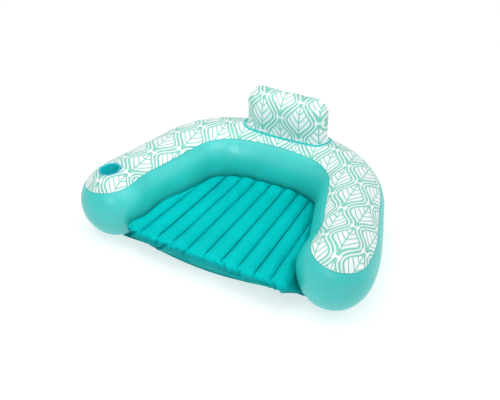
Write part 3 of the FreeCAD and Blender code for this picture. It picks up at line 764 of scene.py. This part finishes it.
def box_skin(counts):
    """Points and faces of a box with corners at -1 and 1, divided evenly."""
    work = bmesh.new()
    for axis in range(3):
        for side in (-1.0, 1.0):
            u, v = [a for a in range(3) if a != axis]
            rows = []
            for i in range(counts[u] + 1):
                row = []
                for j in range(counts[v] + 1):
                    point = [0.0, 0.0, 0.0]
                    point[axis] = side
                    point[u] = 2.0 * i / counts[u] - 1.0
                    point[v] = 2.0 * j / counts[v] - 1.0
                    row.append(work.verts.new(point))
                rows.append(row)
            for i in range(counts[u]):
                for j in range(counts[v]):
                    work.faces.new((rows[i][j], rows[i + 1][j], rows[i + 1][j + 1], rows[i][j + 1]))
    bmesh.ops.remove_doubles(work, verts=work.verts, dist=0.0001)
    work.verts.index_update()
    points = np.array([v.co[:] for v in work.verts])
    faces = [tuple(v.index for v in f.verts) for f in work.faces]
    work.free()
    return points, faces


def pillow_shape():
    """Crowned front and back, rounded rim and a foot that flares to its weld.

    Returns points, faces, where the print is read and the height above the ring.
    """
    unit, faces = box_skin((62, 20, 36))
    base = tube_top(PILLOW_X, BACK_Y) - 0.002
    half = np.array([PILLOW_W, PILLOW_D, PILLOW_TOP - base]) / 2.0
    middle = np.array([PILLOW_X, BACK_Y, base + half[2]])
    half[0] -= PILLOW_SLIM
    half[2] -= PILLOW_SLIM
    middle[2] -= PILLOW_SLIM
    raw = unit * half
    core = np.clip(raw, -(half - PILLOW_ROUND), half - PILLOW_ROUND)
    core[:, 2] = np.clip(raw[:, 2], -half[2], half[2] - PILLOW_ROUND[2])
    out = (raw - core) / PILLOW_ROUND
    length = np.linalg.norm(out, axis=1, keepdims=True)
    form = np.where(length > 1e-6, core + PILLOW_ROUND * out / np.maximum(length, 1e-6), raw)
    face = np.abs(unit[:, 1]) > 0.999
    crown = (1.0 - (form[:, 0] / half[0]) ** 2) * (1.0 - (form[:, 2] / half[2]) ** 2)
    form[:, 1] += np.sign(form[:, 1]) * 0.010 * np.clip(crown, 0.0, 1.0) * face
    spot = form + middle
    # where the print is read: upright on the faces, carried on over the top
    over = np.maximum(0.0, spot[:, 2] - (PILLOW_TOP - 0.004))
    height = spot[:, 2] + np.where(form[:, 2] > half[2] - 0.03, (form[:, 1] + half[1]) * 0.7, 0.0) - over
    place = np.stack([spot[:, 0], height, np.zeros(len(spot))], 1)
    # flare of the foot
    rise = spot[:, 2] - base
    flare = (1.0 - smooth(rise / SKIRT)) ** 2
    wide = np.array([(FLANGE_W - 0.015) / PILLOW_W, (FLANGE_D - 0.015) / PILLOW_D])
    corner = np.abs(form[:, 0]) / half[0] * np.abs(form[:, 1]) / half[1]
    for axis in (0, 1):
        grow = 1.0 + (wide[axis] - 1.0) * flare * (1.0 - 0.35 * corner ** 4)
        spot[:, axis] = middle[axis] + form[:, axis] * grow
    ground = tube_top(spot[:, 0], spot[:, 1])
    share = np.clip(1.0 - rise / (PILLOW_TOP - base), 0.0, 1.0) ** 3
    spot[:, 2] += (ground + 0.0008 - base) * share
    ripple = np.sin(spot[:, 0] / 0.0047 + 5.0 * np.sin(spot[:, 0] * 31.0))
    gather = ripple * np.exp(-((rise - 0.016) / 0.016) ** 2)
    spot[:, 1] += np.sign(form[:, 1]) * 0.0013 * gather * face
    return spot, faces, place, rise


def pillow_object():
    """The head pillow, blown up, with the hole for its valve."""
    spot, faces, place, rise = pillow_shape()
    held = smooth((0.030 - rise) / 0.012)
    loose = smooth((0.060 - rise) / 0.030)
    cover = mesh_object("pillow_cover", spot, faces, place, held=held, loose=loose)
    inflate(cover, 4.0, (0.002, 0.03), 20, 0.007)
    skin = np.array([v.co[:] for v in cover.data.vertices])
    skin = valve_seat(skin, "pillow")
    cover.data.vertices.foreach_set("co", skin.astype(np.float32).reshape(-1))
    cover.data.update()
    valve_hole(cover, "pillow")
    open_hole(cover, "pillow")
    return cover


def pillow_weld():
    """The rounded bead of the pillow's weld, round its foot on the ring."""
    inset = FLANGE_BAND / 2.0
    half = np.array([FLANGE_W, FLANGE_D]) / 2.0 - inset
    radius = FLANGE_R - inset
    line = []
    for quarter in range(4):
        sx = 1.0 if quarter in (0, 3) else -1.0
        sy = 1.0 if quarter in (0, 1) else -1.0
        corner = np.array([sx, sy]) * (half - radius)
        for i in range(15):
            angle = math.radians(90.0 * quarter + 90.0 * i / 14.0)
            line.append(corner + radius * np.array([math.cos(angle), math.sin(angle)]))
    line = np.array(line)
    steps = np.linalg.norm(np.roll(line, -1, 0) - line, axis=1)
    along = np.concatenate([[0.0], np.cumsum(steps)])
    count = round(along[-1] / 0.005)
    spots = np.linspace(0.0, along[-1], count, endpoint=False)
    line = np.stack([np.interp(spots, along, np.append(line[:, k], line[0, k])) for k in (0, 1)], 1)
    ahead_of = np.roll(line, -1, 0) - np.roll(line, 1, 0)
    side = np.stack([ahead_of[:, 1], -ahead_of[:, 0]], 1) / np.linalg.norm(ahead_of, axis=1)[:, None]
    angles = np.radians(np.linspace(0.0, 180.0, 9))
    rows = []
    for reach, lift in list(zip(np.cos(angles), np.sin(angles))) + [(-0.9, -0.3), (0.9, -0.3)]:
        spot = line + side * reach * FLANGE_BAND / 2.0
        x = spot[:, 0] + PILLOW_X
        y = spot[:, 1] + BACK_Y
        rows.append(np.stack([x, y, tube_top(x, y) + lift * FLANGE_BEAD], 1))
    points = np.stack(rows, 1)
    return mesh_object("pillow_weld_bead", points, grid_faces(len(line), points.shape[1], True, True))


# Materials

class Value:
    """A number worked out at each point of a surface, written as ordinary arithmetic."""

    def __init__(self, tree, socket):
        self.tree = tree
        self.socket = socket

    def math(self, operation, *others):
        node = self.tree.nodes.new("ShaderNodeMath")
        node.operation = operation
        for number, item in enumerate((self, *others)):
            if isinstance(item, Value):
                self.tree.links.new(item.socket, node.inputs[number])
            else:
                node.inputs[number].default_value = item
        return Value(self.tree, node.outputs[0])

    def __add__(self, other):
        return self.math("ADD", other)

    def __sub__(self, other):
        return self.math("SUBTRACT", other)

    def __mul__(self, other):
        return self.math("MULTIPLY", other)

    def __truediv__(self, other):
        return self.math("DIVIDE", other)

    def __abs__(self):
        return self.math("ABSOLUTE")

    def wrap(self, low, high):
        return self.math("WRAP", high, low)

    def within(self, low, high, soft):
        """1 between low and high, 0 outside, with soft edges."""
        return self.ramp(low - soft, low + soft) * (self.ramp(high - soft, high + soft) * -1.0 + 1.0)

    def ramp(self, low, high):
        node = self.tree.nodes.new("ShaderNodeMapRange")
        node.interpolation_type = "SMOOTHSTEP"
        node.inputs["From Min"].default_value = low
        node.inputs["From Max"].default_value = high
        self.tree.links.new(self.socket, node.inputs["Value"])
        return Value(self.tree, node.outputs["Result"])


def start_material(name, roughness, specular=0.5):
    material = bpy.data.materials.new(name)
    material.use_nodes = True
    tree = material.node_tree
    shader = tree.nodes["Principled BSDF"]
    shader.inputs["Roughness"].default_value = roughness
    shader.inputs["Specular IOR Level"].default_value = specular
    return material, tree, shader


def noise(tree, scale, detail=3.0, rough=0.55):
    """Noise in the object's own space."""
    place = tree.nodes.new("ShaderNodeTexCoord")
    node = tree.nodes.new("ShaderNodeTexNoise")
    node.inputs["Scale"].default_value = scale
    node.inputs["Detail"].default_value = detail
    node.inputs["Roughness"].default_value = rough
    tree.links.new(place.outputs["Object"], node.inputs["Vector"])
    return Value(tree, node.outputs["Fac"])


def mix(tree, share, low, high):
    """Colour between low and high; each is a colour or a socket."""
    node = tree.nodes.new("ShaderNodeMix")
    node.data_type = "RGBA"
    tree.links.new(share.socket, node.inputs["Factor"])
    for socket, value in ((node.inputs["A"], low), (node.inputs["B"], high)):
        if isinstance(value, tuple):
            socket.default_value = (*value, 1.0)
        else:
            tree.links.new(value, socket)
    return node.outputs["Result"]


GRAIN = 0.00072              # height of the grain and dimples together


def vinyl_surface(tree, shader, rough):
    """Calendered vinyl: a fine grain, soft dimples and roughness that wanders a little."""
    fine = noise(tree, 240.0, 2.0)
    soft = noise(tree, 46.0, 3.0)
    height = fine * 0.06 + soft
    bump = tree.nodes.new("ShaderNodeBump")
    bump.inputs["Strength"].default_value = 0.35
    bump.inputs["Distance"].default_value = GRAIN
    tree.links.new(height.socket, bump.inputs["Height"])
    tree.links.new(bump.outputs["Normal"], shader.inputs["Normal"])
    wander = noise(tree, 9.0, 4.0) * 0.16 + (rough - 0.08)
    tree.links.new(wander.socket, shader.inputs["Roughness"])


def seat_material(name, colour, rough):
    """Seat vinyl with painted shade: a darker copy of its colour along the creases, where it meets the ring,
    on its ends and down its folded front.
    """
    material = plain_vinyl(name, colour, rough, 0.05, 0.03)
    tree = material.node_tree
    shader = tree.nodes["Principled BSDF"]
    crease = tree.nodes.new("ShaderNodeAttribute")
    crease.attribute_name = "crease"
    painted = shader.inputs["Base Color"].links[0].from_socket
    share = Value(tree, crease.outputs["Fac"])
    # painted shade: the seat's colour darkened to 0.42 where the layer says
    tree.links.new(mix(tree, share, painted, shade(colour, 0.42)), shader.inputs["Base Color"])
    return material


def rim_material(name):
    """Cup vinyl with a thin darker line a set distance from the cup's axis, where it is welded."""
    material = plain_vinyl(name, CUP, 0.38, 0.05)
    tree = material.node_tree
    shader = tree.nodes["Principled BSDF"]
    spot = tree.nodes.new("ShaderNodeTexCoord").outputs["Object"]
    for operation, value in (("SUBTRACT", CUP_MIDDLE), ("CROSS_PRODUCT", CUP_AXIS)):
        node = tree.nodes.new("ShaderNodeVectorMath")
        node.operation = operation
        node.inputs[1].default_value = value
        tree.links.new(spot, node.inputs[0])
        spot = node.outputs["Vector"]
    away = tree.nodes.new("ShaderNodeVectorMath")
    away.operation = "LENGTH"
    tree.links.new(spot, away.inputs[0])
    share = Value(tree, away.outputs["Value"]).ramp(CUP_RIM_R - 0.0032, CUP_RIM_R - 0.0022)
    painted = shader.inputs["Base Color"].links[0].from_socket
    tree.links.new(mix(tree, share, painted, RIM), shader.inputs["Base Color"])
    return material


def shade(colour, factor):
    """A colour made darker or lighter."""
    return tuple(min(1.0, c * factor) for c in colour)


def plain_vinyl(name, colour, rough=0.36, spread=0.10, specular=0.42):
    """Coloured vinyl whose depth of colour drifts a little."""
    material, tree, shader = start_material(name, rough, specular)
    patch = noise(tree, 5.0, 4.0).ramp(0.3, 0.7)
    colour_out = mix(tree, patch, shade(colour, 1.0 - spread), shade(colour, 1.0 + spread))
    tree.links.new(colour_out, shader.inputs["Base Color"])
    vinyl_surface(tree, shader, rough)
    return material


PITCH_X = 0.189              # between leaves in one row
PITCH_Y = 0.200              # between leaves in one column
FRAME_HALF = 0.0054          # half the width of the wavy line between two leaves
MARGIN = 0.0115              # from the middle of that line to a leaf's outline
LINE = 0.0100                # a leaf's outline
VEIN = 0.0062                # a leaf's midrib and veins
VEIN_PITCH = 0.0400
SWING = 0.60                 # how strongly the lines sway, 1 where neighbours touch


def printed_vinyl(name, phase_x, phase_y):
    """White vinyl printed with rows of plain leaves between wavy lines."""
    material, tree, shader = start_material(name, 0.36, 0.4)
    place = tree.nodes.new("ShaderNodeAttribute")
    place.attribute_name = "print_place"
    split = tree.nodes.new("ShaderNodeSeparateXYZ")
    tree.links.new(place.outputs["Vector"], split.inputs[0])
    wobble = noise(tree, 22.0, 2.0) * 0.006 - 0.003
    x = Value(tree, split.outputs["X"]) - phase_x + wobble
    y = Value(tree, split.outputs["Y"]) - phase_y + wobble
    column = PITCH_X / 2.0
    half_row = PITCH_Y / 2.0
    sway = column / 2.0 * SWING
    turn = y * (2.0 * math.pi / PITCH_Y)
    shift = abs(x.wrap(-column, column))
    edge = turn.math("COSINE") * sway + column / 2.0 - shift
    odd = edge.math("LESS_THAN", 0.0)
    even = odd * -1.0 + 1.0
    slope = turn.math("SINE") * (sway * 2.0 * math.pi / PITCH_Y)
    side = abs(edge) / (slope * slope + 1.0).math("SQRT")
    across = shift * even + (shift * -1.0 + column) * odd
    upright = y.wrap(-half_row, half_row) * even + (y - half_row).wrap(-half_row, half_row) * odd
    cap = abs(upright) * -1.0 + half_row
    soft = 0.0007
    frame_line = side.within(-1.0, FRAME_HALF, soft) * cap.ramp(0.010, 0.0115)
    inset = (side - MARGIN).math("SMOOTH_MIN", cap - 0.0045, 0.010)
    thick = upright * -0.035 + LINE
    outline = inset.ramp(-soft, soft) * ((inset - thick).ramp(-soft, soft) * -1.0 + 1.0)
    leaf = (inset - thick).ramp(-0.0005, 0.0)
    midrib = across.within(-1.0, VEIN * 0.46, soft) * inset.ramp(0.0, 0.001)
    branch = upright - across * 0.95 - across * across * 9.0
    steep = across * 18.0 + 0.95
    half_vein = VEIN_PITCH / 2.0
    off_vein = abs((branch + 0.008).wrap(-half_vein, half_vein)) / (steep * steep + 1.0).math("SQRT")
    veins = off_vein.within(-1.0, VEIN * 0.44, soft)
    ink = outline.math("MAXIMUM", midrib).math("MAXIMUM", frame_line).math("MAXIMUM", veins * leaf)
    uneven = noise(tree, 60.0, 3.0) * 0.10 + 0.93
    ink = ink.math("MINIMUM", 1.0) * uneven
    paper = mix(tree, noise(tree, 4.0).ramp(0.3, 0.7), shade(WHITE, 0.97), WHITE)
    tree.links.new(mix(tree, ink, paper, MINT), shader.inputs["Base Color"])
    vinyl_surface(tree, shader, 0.38)
    return material


def put(thing, material, body):
    """Give a piece its material and slot, and its body when one is named."""
    thing.data.materials.clear()
    thing.data.materials.append(material)
    if body:
        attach(thing, body)
    return thing


def finish_node(name, material):
    """Give a CAD node that stays in view a better material."""
    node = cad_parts[name]
    for slot_ in node.material_slots:
        slot_.material = material


# The object

PRINT_RING = printed_vinyl("print_on_ring", 0.0, -0.1085)
PRINT_PILLOW = printed_vinyl("print_on_pillow", PILLOW_X - 0.1025, 0.420)
WALL_VINYL = plain_vinyl("wall_vinyl", WALL, 0.36, 0.07, 0.80)
SEAT_VINYL = seat_material("seat_vinyl", SEAT, 0.54)
WELD_VINYL = plain_vinyl("weld_vinyl", WELD, 0.38, 0.06)
SEAM_VINYL = plain_vinyl("seam_vinyl", SEAM, 0.38, 0.06)
CUP_VINYL = plain_vinyl("cup_vinyl", CUP, 0.42, 0.08)
RIM_VINYL = rim_material("rim_vinyl")
VALVE_VINYL = plain_vinyl("valve_vinyl", CLEAR, 0.38, 0.03)


def build_ring():
    top = ring_panel("ring_print_sheet", angle_steps(0.0, SEAM_TOP, (SEAM_TOP,)), True)
    bore(top, CUP_MIDDLE + np.array(CUP_AXIS) * TIP_R, CUP_AXIS, CUP_HOLE_R, 0.08)
    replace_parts(put(top, PRINT_RING, "float"), "ring_top_panel")
    wall = ring_panel("ring_wall_sheet", angle_steps(SEAM_TOP, SEAM_LOW, (SEAM_TOP, SEAM_LOW)))
    valve_hole(wall, "ring")
    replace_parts(put(wall, WALL_VINYL, "float"), "ring_side_wall")
    base = ring_panel("ring_base_sheet", angle_steps(SEAM_LOW, 180.0, (SEAM_LOW,)))
    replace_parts(put(base, WALL_VINYL, "float"), "ring_bottom_panel")
    put(weld_bead("ring_top_weld", SEAM_TOP, 0.0052, 0.0013), SEAM_VINYL, "float")
    put(weld_bead("ring_low_weld", SEAM_LOW, 0.0050, 0.0012), SEAM_VINYL, "float")


def build_mat():
    mat = seat_object()
    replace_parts(put(mat, SEAT_VINYL, "float"),
                "seat_rib_sheet", "seat_front_panel", "seat_edge_band")


def build_pillow():
    pillow = pillow_object()
    put(pillow, PRINT_PILLOW, None)
    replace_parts(pillow, "pillow_front_panel", "pillow_back_panel", "pillow_base_panel")
    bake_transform(pillow)


def build_floor():
    floor, size, area = floor_sheet()
    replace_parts(put(floor, SEAT_VINYL, "float"), "seat_floor_sheet")
    for number in range(1, 10):
        finish_node("seat_web_%d" % number, SEAT_VINYL)


def build_fittings():
    weld = put(pillow_weld(), WELD_VINYL, "float")
    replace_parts(weld, "pillow_weld_flange")
    finish_node("cup_liner", CUP_VINYL)
    finish_node("cup_rim", RIM_VINYL)
    for chamber in ("ring", "pillow", "seat"):
        for part in ("flange", "stem", "plug", "flap"):
            finish_node("%s_valve_%s" % (chamber, part), VALVE_VINYL)
        put(tether(chamber), VALVE_VINYL, None)


FLOOR_GLOW = 0.56            # keeps the shadows on the floor faint
SKY = 0.67
LAMPS = (                    # name, place, target, width, power and beam in degrees
    ("top", (-0.4, -0.5, 3.4), (0, 0, 0.1), 3.6, 44.0, 180.0),
    ("front", (0.45, -3.1, 1.95), (-0.05, 0.15, 0.2), 0.7, 0.9, 28.0),
    ("side", (1.6, -0.9, 2.4), (-0.38, -0.02, 0.2), 1.0, 0.55, 28.0),
    ("right", (2.8, 0.2, 2.6), (0, 0, 0.2), 4.0, 22.0, 180.0),
)
CAMERA_TURN = 26.79          # from straight in front towards the right
CAMERA_RISE = 37.01
CAMERA_PLACE = (1.2658, -2.5432, 2.2557)
CAMERA_LENS = 54.57


def stage():
    """Pale floor, soft lights and the camera."""
    bpy.ops.mesh.primitive_plane_add(size=40.0, location=(0, 0, 0))
    floor = bpy.context.object
    floor.name = "floor"
    paint, tree, shader = start_material("floor_paint", 0.85, 0.2)
    share = noise(tree, 2.0).ramp(0.3, 0.7)
    tree.links.new(mix(tree, share, (0.54, 0.54, 0.54), (0.56, 0.56, 0.56)), shader.inputs["Base Color"])
    shader.inputs["Emission Color"].default_value = (1.0, 1.0, 1.0, 1.0)
    shader.inputs["Emission Strength"].default_value = FLOOR_GLOW
    floor.data.materials.append(paint)

    world = bpy.data.worlds.new("studio")
    world.use_nodes = True
    world.node_tree.nodes["Background"].inputs["Color"].default_value = (1.0, 1.0, 1.0, 1.0)
    world.node_tree.nodes["Background"].inputs["Strength"].default_value = SKY
    bpy.context.scene.world = world
    bpy.context.scene.view_settings.view_transform = "Standard"

    for name, place, target, size, power, beam in LAMPS:
        light = bpy.data.lights.new(name, "AREA")
        light.shape = "DISK"
        light.size = size
        light.energy = power
        light.spread = math.radians(beam)
        lamp = bpy.data.objects.new(name, light)
        lamp.location = place
        lamp.rotation_euler = (Vector(target) - Vector(place)).to_track_quat("-Z", "Y").to_euler()
        bpy.context.scene.collection.objects.link(lamp)

    azimuth = math.radians(CAMERA_TURN)
    elevation = math.radians(CAMERA_RISE)
    back = Vector((math.sin(azimuth) * math.cos(elevation), -math.cos(azimuth) * math.cos(elevation),
                   math.sin(elevation)))
    lens = bpy.data.cameras.new("camera")
    lens.lens = CAMERA_LENS
    lens.sensor_width = 36.0
    camera = bpy.data.objects.new("camera", lens)
    camera.location = CAMERA_PLACE
    camera.rotation_euler = back.to_track_quat("Z", "Y").to_euler()
    bpy.context.scene.collection.objects.link(camera)
    bpy.context.scene.camera = camera


build_ring()
build_mat()
build_pillow()
build_floor()
build_fittings()
stage()
